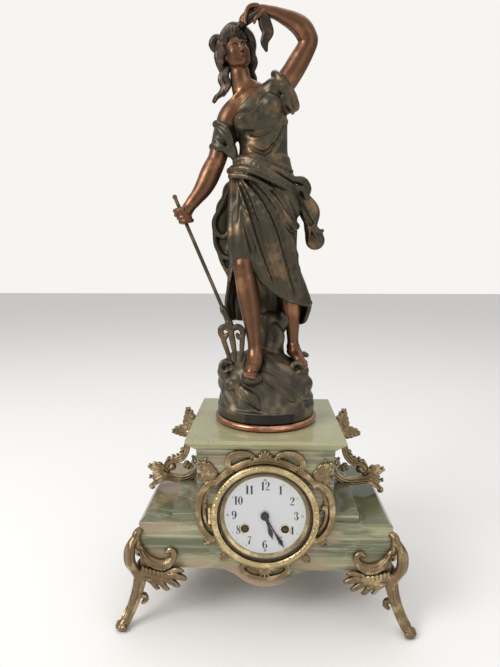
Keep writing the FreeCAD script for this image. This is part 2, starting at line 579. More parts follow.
feet_of_ears = [
    box("knuckle_offset + 2 * knuckle_radius", "flange_thick - face_gap", "knuckle_length",
        HINGE_X + " - knuckle_radius", DIAL_BACK + " + face_gap",
        f"dial_height + knuckle_length * {share}") for share in KNUCKLE_SHARES]
name_node(fuse(ring, *fixed_knuckles, *ears, *feet_of_ears), "bezel_ring")

frame = doc.addObject("PartDesign::Body", "Body")
move(frame, z="dial_height")
turned(frame, [
    ("frame_sight", FRAME_BACK), ("dial_radius + face_gap", FRAME_BACK),
    ("dial_radius + face_gap", DIAL_BACK + " - face_gap"),
    ("frame_radius", DIAL_BACK + " - face_gap"), ("frame_radius", DIAL_BACK + " - frame_proud / 3"),
    ("frame_lip + knuckle_offset", FRAME_FRONT), ("frame_lip", FRAME_FRONT + " + face_gap"),
    ("frame_lip", GLASS_BACK), ("glass_radius - glass_bearing", GLASS_BACK)])
arm = box("knuckle_offset + 2 * knuckle_radius", "knuckle_radius",
          "knuckle_length - 2 * face_gap", HINGE_X + " + knuckle_radius / 2",
          HINGE_Y + " - knuckle_radius", MIDDLE + " + face_gap")
name_node(fuse(frame, knuckle(HINGE_X, HINGE_Y, MIDDLE + " + face_gap",
                              "knuckle_length - 2 * face_gap"), arm), "bezel_frame")

glass = new_body("bezel_glass", z="dial_height")
turned(glass, [
    ("0", GLASS_BACK), ("glass_radius", GLASS_BACK),
    ("glass_radius", GLASS_BACK + " - glass_thick / 2"),
    ("glass_radius - glass_thick / 2", GLASS_BACK + " - glass_thick"),
    ("0", GLASS_BACK + " - glass_thick")])

WINDING_LEFT = ("-winding_across / 2", "-winding_below")
WINDING_RIGHT = ("winding_across / 2", "-winding_below")
dial = new_body("enamel_dial", z="dial_height")
turned(dial, [("dial_centre_hole", DIAL_BACK), ("dial_radius", DIAL_BACK),
              ("dial_radius", DIAL_FACE), ("dial_centre_hole", DIAL_FACE)])
winding_circles = draw_circles(dial, "XZ_Plane", [(*WINDING_LEFT, "winding_hole"),
                                                  (*WINDING_RIGHT, "winding_hole")])
winding_holes = dial.newObject("PartDesign::Pocket", "WindingHoles")
winding_holes.Profile = winding_circles
winding_holes.Midplane = True
bind(winding_holes, Length="2 * block_depth")

eyelets = []
for x, z in (WINDING_LEFT, WINDING_RIGHT):
    place = dict(x=x, y=DIAL_FACE + " - eyelet_proud", z="dial_height + " + z, turn=TO_BACK)
    eyelets.append(cut(rod("winding_hole - running_gap", "dial_thick + eyelet_proud", **place),
                       rod("winding_hole - eyelet_wall", "2 * dial_thick", **place)))
name_node(group(*eyelets), "winding_eyelets")

# Rear ring and its hinged door
BACK = "block_depth / 2"
DOOR_BACK = BACK + " + rear_flange_thick + face_gap"
REAR_HINGE_X = "-rear_flange_radius - knuckle_offset"
REAR_HINGE_Y = DOOR_BACK + " + rear_door_thick / 2"
rear_turning = doc.addObject("PartDesign::Body", "Body")
move(rear_turning, z="dial_height")
turned(rear_turning, [
    ("rear_opening", BACK), ("bore_radius - strap_end_thick - bore_gap", BACK),
    ("bore_radius - strap_end_thick - bore_gap", BACK + " - rear_sleeve"),
    ("bore_radius - bore_gap", BACK + " - rear_sleeve"), ("bore_radius - bore_gap", BACK),
    ("rear_flange_radius", BACK), ("rear_flange_radius", BACK + " + rear_flange_thick"),
    ("rear_opening", BACK + " + rear_flange_thick")])
rear_ears = []
for share in KNUCKLE_SHARES:
    foot = f"dial_height + knuckle_length * {share}"
    rear_ears.append(knuckle(REAR_HINGE_X, REAR_HINGE_Y, foot, "knuckle_length"))
    rear_ears.append(cut(
        box("knuckle_radius + knuckle_offset", f"({REAR_HINGE_Y}) - ({BACK})", "knuckle_length",
            REAR_HINGE_X + " - knuckle_radius", BACK, foot),
        rod("hinge_pin_radius + running_gap", "3 * knuckle_length", REAR_HINGE_X,
            REAR_HINGE_Y, f"{foot} - knuckle_length")))
    rear_ears.append(box("knuckle_offset + 2 * knuckle_radius", "rear_flange_thick",
                         "knuckle_length", REAR_HINGE_X + " - knuckle_radius", BACK, foot))
STRAP_SCREW_X = "bore_radius - bore_gap - strap_end_thick / 2"
strap_ways = [
    rod("strap_screw_radius", "2 * rear_sleeve", x=side + STRAP_SCREW_X + tail,
        y=BACK + " - rear_sleeve", z="dial_height", turn=TO_BACK)
    for side, tail in (("-(", ")"), ("(", ")"))]
strap_head_ways = [
    rod("strap_screw_head + running_gap", "rear_flange_thick", x=side + STRAP_SCREW_X + tail,
        y=BACK + " + rear_flange_thick - strap_screw_head_height", z="dial_height", turn=TO_BACK)
    for side, tail in (("-(", ")"), ("(", ")"))]
name_node(cut(fuse(rear_turning, *rear_ears), *strap_ways, *strap_head_ways), "rear_ring")

rear_plate_disc = rod("rear_door_radius", "rear_door_thick", "0", DOOR_BACK, "dial_height", TO_BACK)
rear_arm = box("2 * knuckle_offset + 2 * knuckle_radius", "rear_door_thick",
               "knuckle_length - 2 * face_gap", REAR_HINGE_X + " + knuckle_radius / 2",
               DOOR_BACK, MIDDLE + " + face_gap")
rear_catch = rod("rear_catch_radius", "rear_catch_height", "rear_door_radius * 0.85",
                 DOOR_BACK + " + rear_door_thick", "dial_height", TO_BACK)
sound_holes = [
    rod("sound_hole_radius", "2 * rear_door_thick",
        f"sound_hole_circle * cos({turn})", DOOR_BACK + " - rear_door_thick / 2",
        f"dial_height + sound_hole_circle * sin({turn})", TO_BACK)
    for turn in (360 * i / SOUND_HOLES for i in range(SOUND_HOLES))]
name_node(fuse(cut(rear_plate_disc, *sound_holes), rear_arm, rear_catch,
               knuckle(REAR_HINGE_X, REAR_HINGE_Y, MIDDLE + " + face_gap",
                       "knuckle_length - 2 * face_gap")), "rear_door")

PIN_LENGTH = f"knuckle_length * {1 - 2 * KNUCKLE_SHARES[1] - 1}"
name_node(group(*[
    rod("hinge_pin_radius", PIN_LENGTH, x, y, f"dial_height + knuckle_length * {KNUCKLE_SHARES[1]}")
    for x, y in ((HINGE_X, HINGE_Y), (REAR_HINGE_X, REAR_HINGE_Y))]), "hinge_pins")

# Straps from the front ring to the rear ring, with their screws
straps = []
strap_screws = []
for side in (-1, 1):
    inner = "bore_radius - bore_gap - strap_end_thick"
    band = box("strap_thick", f"({BACK}) - rear_sleeve - ({FRONT}) - sleeve_depth", "strap_width",
               inner if side > 0 else f"-({inner}) - strap_thick",
               FRONT + " + sleeve_depth", "dial_height - strap_width / 2")
    end = box("strap_end_thick - bore_gap", "strap_end_length", "strap_width",
              inner if side > 0 else f"-({inner}) - strap_end_thick + bore_gap",
              BACK + " - rear_sleeve - strap_end_length", "dial_height - strap_width / 2")
    screw_x = f"{side} * ({STRAP_SCREW_X})"
    screw_length = "rear_sleeve + rear_flange_thick + strap_end_length / 2"
    straps.append(cut(fuse(band, end), rod(
        "strap_screw_radius", "rear_sleeve + strap_end_length", screw_x,
        BACK + " - rear_sleeve - strap_end_length / 2", "dial_height", TO_BACK)))
    strap_screws.append(fuse(
        rod("strap_screw_radius", screw_length + " - strap_screw_head_height", screw_x,
            BACK + " - rear_sleeve - strap_end_length / 2", "dial_height", TO_BACK),
        rod("strap_screw_head", "strap_screw_head_height", screw_x,
            BACK + " + rear_flange_thick - strap_screw_head_height", "dial_height", TO_BACK)))
name_node(group(*straps), "fixing_straps")
name_node(group(*strap_screws), "strap_screws")

# Movement frame. Levels run backwards from the inner face of the front plate.
PLATE_FRONT = FRONT + " + sleeve_depth"
INSIDE = PLATE_FRONT + " + plate_thick"
REAR_INSIDE = INSIDE + " + plate_space"


def polar(centre, distance, angle):
    turn = math.radians(angle)
    return (centre[0] + distance * math.cos(turn), centre[1] + distance * math.sin(turn))


def meet(first, first_distance, second, second_distance, side):
    """The point at given distances from two points, on one side of the line between them."""
    across, up = second[0] - first[0], second[1] - first[1]
    apart = math.hypot(across, up)
    along = (first_distance ** 2 - second_distance ** 2 + apart ** 2) / (2 * apart)
    off = side * math.sqrt(first_distance ** 2 - along ** 2)
    return (first[0] + (along * across - off * up) / apart,
            first[1] + (along * up + off * across) / apart)


barrel_module = value("barrel_module")
train_module = value("train_module")
centre_module = value("centre_module")
fly_module = value("fly_module")
CENTRE = (0.0, 0.0)
GOING = (value("winding_across / 2"), -value("winding_below"))
STRIKE = (-GOING[0], GOING[1])
barrel_reach = barrel_module * (BARREL_TEETH + SECOND_PINION) / 2
second_reach = train_module * (SECOND_TEETH + CENTRE_PINION) / 2
GOING_SECOND = meet(CENTRE, second_reach, GOING, barrel_reach, 1)
THIRD = polar(CENTRE, centre_module * (CENTRE_TEETH + THIRD_PINION) / 2, 90)
ESCAPE = polar(THIRD, centre_module * (THIRD_TEETH + ESCAPE_PINION) / 2, 90)
ANCHOR = (0.0, ESCAPE[1] + value("anchor_rise"))
STRIKE_SECOND = polar(STRIKE, barrel_reach, STRIKE_SECOND_ANGLE)
PIN_WHEEL = polar(STRIKE_SECOND, second_reach, PIN_WHEEL_ANGLE)
FLY = polar(PIN_WHEEL, fly_module * (PIN_WHEEL_TEETH + FLY_PINION) / 2, FLY_ANGLE)
HAMMER = (-value("hammer_across"), -value("hammer_below"))
motion_reach = value("motion_module") * (CANNON_TEETH + MINUTE_WHEEL_TEETH) / 2
MINUTE_WHEEL = polar(CENTRE, motion_reach, MINUTE_WHEEL_ANGLE)
dial_height = value("dial_height")
inside = value(INSIDE)


def post(centre, radius, start, length):
    """A code-made cylinder along +y from level y = start, at a place round the dial's axis."""
    return Part.makeCylinder(radius, length, Vector(centre[0], start, dial_height + centre[1]),
                             Vector(0, 1, 0))


def plate(start, holes, studs=()):
    """A movement plate with holes (place, radius) and studs (place, radius, start, length)."""
    shape = post(CENTRE, value("plate_radius"), start, value("plate_thick"))
    for centre, radius in holes:
        shape = shape.cut(post(centre, radius + value("running_gap"), start,
                               value("plate_thick")))
    for centre, radius, level, length in studs:
        shape = shape.fuse(post(centre, radius, level, length))
    return shape.removeSplitter()


pivot = value("pivot_radius")
arbor = value("arbor_radius")
train_pivots = [(place, pivot) for place in (GOING_SECOND, THIRD, ESCAPE, STRIKE_SECOND,
                                             PIN_WHEEL, FLY)]
pillar_places = [polar(CENTRE, value("pillar_circle"), angle) for angle in PILLAR_ANGLES]
stud_length = value("motion_thick * 5")
formed("front_plate", plate(
    value(PLATE_FRONT),
    train_pivots + [(ANCHOR, pivot), (CENTRE, value("centre_arbor_radius")),
                    (GOING, value("winding_arbor_radius")),
                    (STRIKE, value("winding_arbor_radius"))],
    [(MINUTE_WHEEL, value("minute_stud_radius"), value(PLATE_FRONT) - stud_length, stud_length)]))
formed("rear_plate", plate(
    value(REAR_INSIDE),
    train_pivots + [(ANCHOR, arbor), (CENTRE, pivot), (GOING, arbor), (STRIKE, arbor),
                    (HAMMER, pivot)]))
formed("plate_pillars", Part.makeCompound([
    post(place, value("pillar_radius"), inside, value("plate_space"))
    for place in pillar_places]))


def tooth_points(teeth, module, phase):
    """The outline of straight-flanked teeth, one standing at the phase angle."""
    pitch_radius = teeth * module / 2
    pitch = 2 * math.pi / teeth
    root = pitch_radius - DEDENDUM_SHARE * module
    tip = pitch_radius + ADDENDUM_SHARE * module
    points = []
    for i in range(teeth):
        middle = math.radians(phase) + i * pitch
        for radius, share in ((root, -TOOTH_ROOT_SHARE), (tip, -TOOTH_TIP_SHARE),
                              (tip, TOOTH_TIP_SHARE), (root, TOOTH_ROOT_SHARE)):
            angle = middle + share * pitch / 2
            points.append((radius * math.cos(angle), radius * math.sin(angle)))
    return points


def prism(centre, points, start, length):
    """An outline in (x, z) round a place, carried along +y."""
    corners = [Vector(centre[0] + x, start, dial_height + centre[1] + z) for x, z in points]
    face = Part.Face(Part.makePolygon(corners + corners[:1]))
    return face.extrude(Vector(0, length, 0))


def gear(centre, teeth, module, phase, start, length, crossed=True):
    """A toothed wheel, with windows between its spokes unless it is a pinion."""
    shape = prism(centre, tooth_points(teeth, module, phase), start, length)
    if not crossed:
        return shape
    radius = teeth * module / 2
    inner, outer = (radius * share for share in CROSSING_SHARES)
    for i in range(CROSSINGS):
        half = math.pi / CROSSINGS * CROSSING_ARC_SHARE
        middle = 2 * math.pi * i / CROSSINGS
        angles = [middle - half, middle, middle + half]
        far = [Vector(centre[0] + outer * math.cos(a), start,
                      dial_height + centre[1] + outer * math.sin(a)) for a in angles]
        near = [Vector(centre[0] + inner * math.cos(a), start,
                       dial_height + centre[1] + inner * math.sin(a)) for a in angles]
        wire = Part.Wire([Part.Arc(*far).toShape(), Part.makeLine(far[2], near[2]),
                          Part.Arc(*near[::-1]).toShape(), Part.makeLine(near[0], far[0])])
        shape = shape.cut(Part.Face(wire).extrude(Vector(0, length, 0)))
    return shape


def in_mesh(driver, driver_teeth, driven, driven_teeth, driver_phase=0):
    """The phase that sets a gap of the driven wheel on the driver's tooth."""
    facing = math.degrees(math.atan2(driven[1] - driver[1], driven[0] - driver[0]))
    share = ((facing - driver_phase) * driver_teeth / 360) % 1
    return facing + 180 - (0.5 - share) * 360 / driven_teeth


def train_arbor(centre, wheel, pinion):
    """An arbor between the plates with a pivot at each end; wheel and pinion are
    (teeth, module, phase, level)."""
    running = value("running_gap")
    space = value("plate_space")
    shape = post(centre, arbor, inside + running, space - 2 * running)
    shape = shape.fuse(post(centre, pivot, inside - value("plate_thick"),
                            space + 2 * value("plate_thick")))
    thick = value("wheel_thick")
    if wheel:
        teeth, module, phase, level = wheel
        shape = shape.fuse([gear(centre, teeth, module, phase, inside + level, thick),
                            post(centre, value("hub_radius"), inside + level - thick, 2 * thick)])
    teeth, module, phase, level = pinion
    length = value("pinion_length")
    return shape.fuse(gear(centre, teeth, module, phase, inside + level - length / 2, length,
                           crossed=False)).removeSplitter()


BARREL_LEVEL = value("barrel_wheel_gap + barrel_wheel_thick / 2")
second_level = value("second_wheel_level")
half_wheel = value("wheel_thick") / 2


def barrel(label, centre):
    """The great wheel with its spring drum behind it, hollow and bored for its arbor."""
    start = inside + value("barrel_wheel_gap")
    thick = value("barrel_wheel_thick")
    wall = value("drum_wall")
    shape = prism(centre, tooth_points(BARREL_TEETH, barrel_module, 0), start, thick)
    shape = shape.fuse(post(centre, value("drum_radius"), start + thick, value("drum_height")))
    shape = shape.cut([
        post(centre, value("drum_radius") - wall, start + thick, value("drum_height") - wall),
        post(centre, value("winding_arbor_radius + running_gap"), start,
             thick + value("drum_height"))])
    formed(label, shape)


def winding_arbor(label, centre):
    """A barrel arbor with its ratchet wheel in front of the plate and its square end."""
    running = value("running_gap")
    plate_front = value(PLATE_FRONT)
    ratchet = value("ratchet_thick")
    radius = value("winding_arbor_radius")
    behind = inside + value("barrel_wheel_gap + barrel_wheel_thick + drum_height") + 2 * running
    shape = post(centre, radius, plate_front - ratchet, behind - plate_front + ratchet)
    shape = shape.fuse(post(centre, arbor, behind, value(REAR_INSIDE + " + plate_thick") - behind))
    points = []
    for i in range(RATCHET_TEETH):
        for share, reach in ((0, 1), (0, 1 - 1 / RATCHET_TEETH * 3)):
            angle = 2 * math.pi * i / RATCHET_TEETH
            points.append((value("ratchet_radius") * reach * math.cos(angle),
                           value("ratchet_radius") * reach * math.sin(angle)))
    shape = shape.fuse(prism(centre, points, plate_front - ratchet - running, ratchet))
    half = value("winding_square") / 2
    front = value(DIAL_FACE + " - winding_square_proud")
    square = prism(centre, [(-half, -half), (half, -half), (half, half), (-half, half)],
                   front, plate_front - ratchet - front)
    formed(label, shape.fuse(square).removeSplitter())


barrel("going_barrel", GOING)
barrel("strike_barrel", STRIKE)
winding_arbor("going_winding_arbor", GOING)
winding_arbor("strike_winding_arbor", STRIKE)

formed("going_second_wheel", train_arbor(
    GOING_SECOND, (SECOND_TEETH, train_module, 0, second_level),
    (SECOND_PINION, barrel_module, in_mesh(GOING, BARREL_TEETH, GOING_SECOND, SECOND_PINION),
     BARREL_LEVEL)))
formed("strike_second_wheel", train_arbor(
    STRIKE_SECOND, (SECOND_TEETH, train_module, 0, second_level),
    (SECOND_PINION, barrel_module, in_mesh(STRIKE, BARREL_TEETH, STRIKE_SECOND, SECOND_PINION),
     BARREL_LEVEL)))
front_run = value(INSIDE) - value(DIAL_FACE)
centre_wheel = train_arbor(
    CENTRE, (CENTRE_TEETH, centre_module, 0, value("centre_wheel_level")),
    (CENTRE_PINION, train_module, in_mesh(GOING_SECOND, SECOND_TEETH, CENTRE, CENTRE_PINION),
     second_level + half_wheel))
formed("centre_wheel", centre_wheel.fuse(post(
    CENTRE, value("centre_arbor_radius"), inside - front_run,
    front_run + value("second_wheel_level / 2"))).removeSplitter())
formed("third_wheel", train_arbor(
    THIRD, (THIRD_TEETH, centre_module, 0, value("third_wheel_level")),
    (THIRD_PINION, centre_module, in_mesh(CENTRE, CENTRE_TEETH, THIRD, THIRD_PINION),
     value("centre_wheel_level") + half_wheel)))
formed("pin_wheel", train_arbor(
    PIN_WHEEL, (PIN_WHEEL_TEETH, fly_module, 0, value("pin_wheel_level")),
    (PIN_PINION, train_module, in_mesh(STRIKE_SECOND, SECOND_TEETH, PIN_WHEEL, PIN_PINION),
     second_level + half_wheel)))

escape_arbor = train_arbor(ESCAPE, None, (
    ESCAPE_PINION, centre_module, in_mesh(THIRD, THIRD_TEETH, ESCAPE, ESCAPE_PINION),
    value("third_wheel_level") + half_wheel))
escape_points = []
for i in range(ESCAPE_TEETH):
    pitch = 2 * math.pi / ESCAPE_TEETH
    for share, depth in ESCAPE_TOOTH_SHARES:
        radius = value("escape_radius") - depth * value("escape_tooth")
        angle = (i + share + ESCAPE_TURN_SHARE) * pitch
        escape_points.append((radius * math.cos(angle), radius * math.sin(angle)))
formed("escape_wheel", escape_arbor.fuse([
    prism(ESCAPE, escape_points, inside + value("escape_wheel_level"), value("wheel_thick")),
    post(ESCAPE, value("hub_radius"), inside + value("escape_wheel_level - wheel_thick"),
         value("2 * wheel_thick"))]).removeSplitter())

fly_arbor = train_arbor(FLY, None, (
    FLY_PINION, fly_module, in_mesh(PIN_WHEEL, PIN_WHEEL_TEETH, FLY, FLY_PINION),
    value("pin_wheel_level") + half_wheel))
fly_half = value("fly_radius")
fly_thin = value("wheel_thick") / 4
formed("fly", fly_arbor.fuse(prism(
    FLY, [(-fly_half, -fly_thin), (fly_half, -fly_thin), (fly_half, fly_thin),
          (-fly_half, fly_thin)],
    inside + value("pin_wheel_level + 2 * pinion_length"), value("fly_length"))).removeSplitter())

# Anchor with its arbor and crutch, suspension and pendulum
REAR_OUTSIDE = REAR_INSIDE + " + plate_thick"
rear_outside = value(REAR_OUTSIDE)


def bar_between(first, second, width, start, length):
    """A flat bar between two places, width across, from level start."""
    across, up = second[0] - first[0], second[1] - first[1]
    reach = math.hypot(across, up)
    side = (-up / reach * width / 2, across / reach * width / 2)
    points = [(first[0] + side[0], first[1] + side[1]), (first[0] - side[0], first[1] - side[1]),
              (second[0] - side[0], second[1] - side[1]), (second[0] + side[0], second[1] + side[1])]
    return prism(CENTRE, points, start, length)


anchor_start = inside + value("escape_wheel_level")
anchor_thick = value("anchor_thick")
arm_place = [(side * value("anchor_arm"), ANCHOR[1] - value("anchor_drop")) for side in (-1, 1)]
pallet_bars = []
for across, up in arm_place:
    inward = value("escape_radius + pallet_clear") / math.hypot(across - ESCAPE[0], up - ESCAPE[1])
    tip = (ESCAPE[0] + inward * (across - ESCAPE[0]), ESCAPE[1] + inward * (up - ESCAPE[1]))
    pallet_bars.append(bar_between((across, up), tip, value("pallet_width"), anchor_start,
                                   anchor_thick))
crutch_start = rear_outside + value("crutch_thick")
crutch_foot = (ANCHOR[0], ANCHOR[1] - value("crutch_length"))
tine_offset = value("rod_radius + face_gap + crutch_tine / 2")
tine_half = value("crutch_tine") / 2
running = value("running_gap")
anchor_shape = post(ANCHOR, pivot, value(PLATE_FRONT), value("plate_thick + running_gap"))
anchor_shape = anchor_shape.fuse([
    post(ANCHOR, arbor - running, inside + running, crutch_start - inside),
    post(ANCHOR, value("hub_radius"), anchor_start, 2 * anchor_thick),
    *[bar_between(ANCHOR, place, value("anchor_bar"), anchor_start, anchor_thick)
      for place in arm_place],
    *pallet_bars,
    post(ANCHOR, value("crutch_width"), crutch_start, value("crutch_thick")),
    bar_between(ANCHOR, crutch_foot, value("crutch_width"), crutch_start,
                value("crutch_thick")),
    bar_between((-tine_offset - tine_half, crutch_foot[1]), (tine_offset + tine_half, crutch_foot[1]),
                value("crutch_width"), crutch_start, value("crutch_thick")),
    *[bar_between((x - tine_half, crutch_foot[1]), (x + tine_half, crutch_foot[1]),
                  value("crutch_width"), crutch_start,
                  value("crutch_thick + crutch_reach")) for x in (-tine_offset, tine_offset)]])
formed("anchor_and_crutch", anchor_shape.removeSplitter())

PENDULUM_Y = REAR_OUTSIDE + " + pendulum_behind"
pendulum_y = value(PENDULUM_Y)
anchor_height = dial_height + ANCHOR[1]


def block_between(low, high):
    size = high - low
    return Part.makeBox(size.x, size.y, size.z, low)


cock_half = value("cock_width") / 2
cock_low = anchor_height + value("cock_above")
cock_back = pendulum_y + value("spring_width")
cock = block_between(Vector(-cock_half, rear_outside, cock_low),
                     Vector(cock_half, cock_back, cock_low + value("cock_height")))
slot_half = value("spring_slot") / 2
cock = cock.cut(block_between(
    Vector(-slot_half, pendulum_y - value("spring_width") / 2 - running, cock_low),
    Vector(slot_half, cock_back, cock_low + value("cock_height"))))
formed("suspension_cock", cock)

spring_half = value("spring_thick") / 2
rod_top = anchor_height - value("spring_below")
bob_height = anchor_height - value("pendulum_length")
spring = block_between(
    Vector(-spring_half, pendulum_y - value("spring_width") / 2, rod_top - value("rod_radius")),
    Vector(spring_half, pendulum_y + value("spring_width") / 2,
           anchor_height + value("spring_above")))
rod_shape = Part.makeCylinder(value("rod_radius"), rod_top - bob_height,
                              Vector(0, pendulum_y, bob_height), Vector(0, 0, 1))
formed("pendulum_rod", rod_shape.fuse(spring).removeSplitter())



def revolved(points, centre, axis):
    """A closed profile of (point, point, ...) edges turned about an axis through a centre."""
    return Part.Face(Part.Wire(points)).revolve(centre, axis, 360)


bob_half = value("bob_thick") / 2
rim_half = value("bob_rim") / 2
bob_radius = value("bob_radius")
bob_places = [Vector(x, pendulum_y + y, bob_height) for x, y in (
    (0, -bob_half), (bob_radius / 2, -(bob_half + rim_half) * BOB_BULGE_SHARE),
    (bob_radius, -rim_half), (bob_radius, rim_half),
    (bob_radius / 2, (bob_half + rim_half) * BOB_BULGE_SHARE), (0, bob_half))]
bob = revolved([
    Part.Arc(*bob_places[:3]).toShape(), Part.makeLine(*bob_places[2:4]),
    Part.Arc(*bob_places[3:]).toShape(), Part.makeLine(bob_places[5], bob_places[0])],
    Vector(0, pendulum_y, bob_height), Vector(0, 1, 0))
formed("pendulum_bob", bob.cut(Part.makeCylinder(
    value("rod_radius + running_gap"), bob_radius + bob_half,
    Vector(0, pendulum_y, bob_height - running), Vector(0, 0, 1))))

# Motion work and hands
plate_front = value(PLATE_FRONT)
face_gap = value("face_gap")
motion_thick = value("motion_thick")
motion_module = value("motion_module")
hour_module = value("hour_module")
hand_thick = value("hand_thick")
cannon_radius = value("cannon_radius")
cannon_length = value("cannon_pinion_length")
hour_front = value(DIAL_FACE + " - hand_spacing - hand_thick")
minute_back = hour_front - hand_thick
cannon_start = plate_front - face_gap - cannon_length
minute_wheel_start = cannon_start + (cannon_length - motion_thick) / 2
hour_start = minute_wheel_start - MINUTE_PINION_LENGTH_SHARE * motion_thick + motion_thick / 2

cannon = gear(CENTRE, CANNON_TEETH, motion_module, 90, cannon_start, cannon_length, crossed=False)
cannon = cannon.fuse(post(CENTRE, cannon_radius, minute_back, plate_front - face_gap - minute_back))
formed("cannon_pinion", cannon.cut(post(
    CENTRE, value("centre_arbor_radius") + running, minute_back,
    plate_front - minute_back)).removeSplitter())
minute_wheel = gear(
    MINUTE_WHEEL, MINUTE_WHEEL_TEETH, motion_module,
    in_mesh(CENTRE, CANNON_TEETH, MINUTE_WHEEL, MINUTE_WHEEL_TEETH, 90),
    minute_wheel_start, motion_thick, crossed=False)
minute_wheel = minute_wheel.fuse(gear(
    MINUTE_WHEEL, MINUTE_PINION, hour_module, 0,
    minute_wheel_start - MINUTE_PINION_LENGTH_SHARE * motion_thick,
    MINUTE_PINION_LENGTH_SHARE * motion_thick, crossed=False))
formed("minute_wheel", minute_wheel.cut(post(
    MINUTE_WHEEL, value("minute_stud_radius") + running, plate_front - stud_length,
    stud_length)).removeSplitter())
hour_wheel = gear(CENTRE, HOUR_TEETH, hour_module,
                  in_mesh(MINUTE_WHEEL, MINUTE_PINION, CENTRE, HOUR_TEETH),
                  hour_start, motion_thick, crossed=False)
pipe_radius = value("hour_pipe_radius")
pipe_back = hour_start + motion_thick
hour_back = hour_front + hand_thick
hour_wheel = hour_wheel.fuse(post(CENTRE, pipe_radius, hour_back, pipe_back - hour_back))
formed("hour_wheel", hour_wheel.cut(post(
    CENTRE, cannon_radius + running, hour_back, pipe_back - hour_back)).removeSplitter())


def hand(label, angle, length, width, boss, shares, start, hole=None):
    """A leaf-shaped hand; shares give (reach, half width) along it."""
    turn = math.radians(angle)
    along = Vector(math.sin(turn), 0, math.cos(turn))
    across = Vector(math.cos(turn), 0, -math.sin(turn))
    base = Vector(0, start, dial_height)
    left = [base + along * (length * reach) - across * (width * half)
            for reach, half in shares]
    right = [base + along * (length * reach) + across * (width * half)
             for reach, half in reversed(shares)]
    sides = []
    for side in (left, right):
        curve = Part.BSplineCurve()
        curve.interpolate(side)
        sides.append(curve.toShape())
    wire = Part.Wire([sides[0], Part.makeLine(left[-1], right[0]), sides[1],
                      Part.makeLine(right[-1], left[0])])
    shape = Part.Face(wire).extrude(Vector(0, hand_thick, 0)).fuse(
        post(CENTRE, boss, start, hand_thick))
    if hole:
        shape = shape.cut(post(CENTRE, hole, start, hand_thick))
    else:
        shape = shape.fuse(post(CENTRE, boss, start - hand_thick, hand_thick))
    formed(label, shape.removeSplitter())


hand("hour_hand", HOUR_ANGLE, value("hour_hand_length"), value("hour_hand_width"),
     value("hour_boss_radius"), HOUR_HAND_SHARES, hour_front, cannon_radius + running)
hand("minute_hand", MINUTE_ANGLE, value("minute_hand_length"), value("minute_hand_width"),
     value("hand_boss_radius"), MINUTE_HAND_SHARES, minute_back - hand_thick)

# Bell, its stand and the hammer
BELL_MOUTH = REAR_OUTSIDE + " + bell_behind"
BELL_HUB = BELL_MOUTH + " + bell_depth"
bell = new_body("bell", z="dial_height")
turned(bell, [
    ("bell_radius", BELL_MOUTH), ("bell_stud_radius + running_gap", BELL_HUB),
    ("bell_stud_radius + running_gap", BELL_HUB + " - bell_wall"),
    ("bell_radius - bell_wall", BELL_MOUTH)],
    arcs={0: (f"bell_radius * {BELL_ARC_SHARE}", 1), 2: (f"bell_radius * {BELL_ARC_SHARE} - bell_wall", -1)})
bell_mouth = value(BELL_MOUTH)
bell_hub = value(BELL_HUB)
stand_radius = value("bell_stand_radius")
stand_foot = (value("bell_stand_across"), -value("bell_stand_below"))
stud_radius = value("bell_stud_radius")
nut_height = value("bell_nut_height")
nut_start = bell_hub + value("bell_nut_seat")
collar = bell_hub - value("bell_wall") - face_gap
stand = post(stand_foot, stand_radius, rear_outside, bell_mouth - rear_outside + 2 * stand_radius)
stand = stand.fuse([
    bar_between(stand_foot, CENTRE, 2 * stand_radius, bell_mouth, 2 * stand_radius),
    post(CENTRE, stand_radius + stud_radius / 2, bell_mouth, collar - bell_mouth),
    post(CENTRE, stud_radius, bell_mouth, nut_start - bell_mouth + nut_height)])
nut = post(CENTRE, value("bell_nut_radius"), nut_start, nut_height).cut(
    post(CENTRE, stud_radius + running, nut_start, nut_height))
formed("bell_stand", Part.makeCompound([stand.removeSplitter(), nut]))

hammer_level = bell_mouth + value("hammer_arm")
head_rise = HAMMER[1] + value("hammer_rise")
head_near = -math.sqrt(value("bell_radius + hammer_gap") ** 2 - head_rise ** 2)
head_length = value("hammer_head_length")
head_place = (head_near - head_length / 2, head_rise)
arm_thick = value("hammer_arm")
hammer_arbor = value("hammer_arbor_radius")
formed("hammer", post(HAMMER, hammer_arbor, rear_outside + running,
                      hammer_level + arm_thick - rear_outside).fuse([
    post(HAMMER, pivot, rear_outside - value("plate_thick"), value("plate_thick") + 2 * running),
    bar_between(HAMMER, head_place, arm_thick, hammer_level, arm_thick),
    Part.makeCylinder(value("hammer_head_radius"), head_length,
                      Vector(head_near - head_length, hammer_level + arm_thick / 2,
                             dial_height + head_rise), Vector(1, 0, 0))]).removeSplitter())


# Cast mounts, worked out as ovals carried along a path


def oval(centre, across, along, half_across, half_along):
    """A closed oval through eight places, its seam always on the across side."""
    turns = [2 * math.pi * i / OVAL_PLACES for i in range(OVAL_PLACES)]
    curve = Part.BSplineCurve()
    curve.interpolate([centre + across * (half_across * math.cos(turn))
                       + along * (half_along * math.sin(turn)) for turn in turns],
                      PeriodicFlag=True)
    return Part.Wire(curve.toShape())


def branch(places, half_widths, half_depths, depth_axis):
    """A solid lofted through ovals square to the path; depth is measured near depth_axis."""
    wires = []
    for i, place in enumerate(places):
        before = places[max(i - 1, 0)]
        after = places[min(i + 1, len(places) - 1)]
        direction = (after - before).normalize()
        across = depth_axis.cross(direction).normalize()
        along = direction.cross(across)
        wires.append(oval(place, across, along, half_widths[i], half_depths[i]))
    return Part.makeLoft(wires, True, True)


FORWARD = Vector(0, 1, 0)


